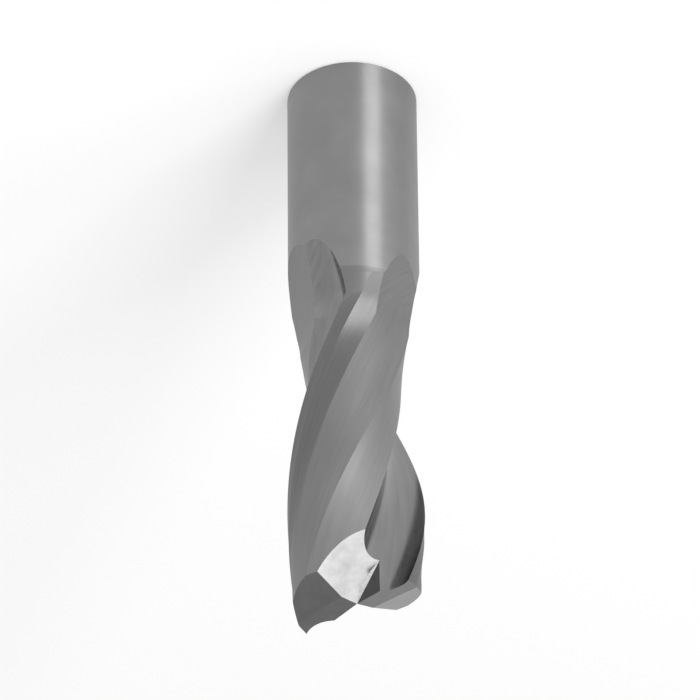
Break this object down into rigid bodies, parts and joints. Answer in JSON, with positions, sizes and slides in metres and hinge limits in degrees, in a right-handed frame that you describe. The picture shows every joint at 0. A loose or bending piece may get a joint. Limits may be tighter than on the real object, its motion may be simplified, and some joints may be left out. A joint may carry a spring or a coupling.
{
  "type": "spiral end mill",
  "caption": "Helical end mill ground from one rod: plain round shank, short collar, spiral flutes with relieved lands and gashed end teeth.",
  "frame": {"origin": "centre of the flat end of the shank, on which the tool stands", "axes": "+Z along the axis from the shank's end to the cutting tip; the corners of the cutting edges lie at 42.7 and 222.7 degrees from +X"},
  "size_m": [0.0256, 0.0256, 0.1185],
  "materials": {
    "ground_carbide": "finely ground, satin"
  },
  "bodies": {
    "root": {"end_mill": "ground_carbide"}
  },
  "joints": []
}
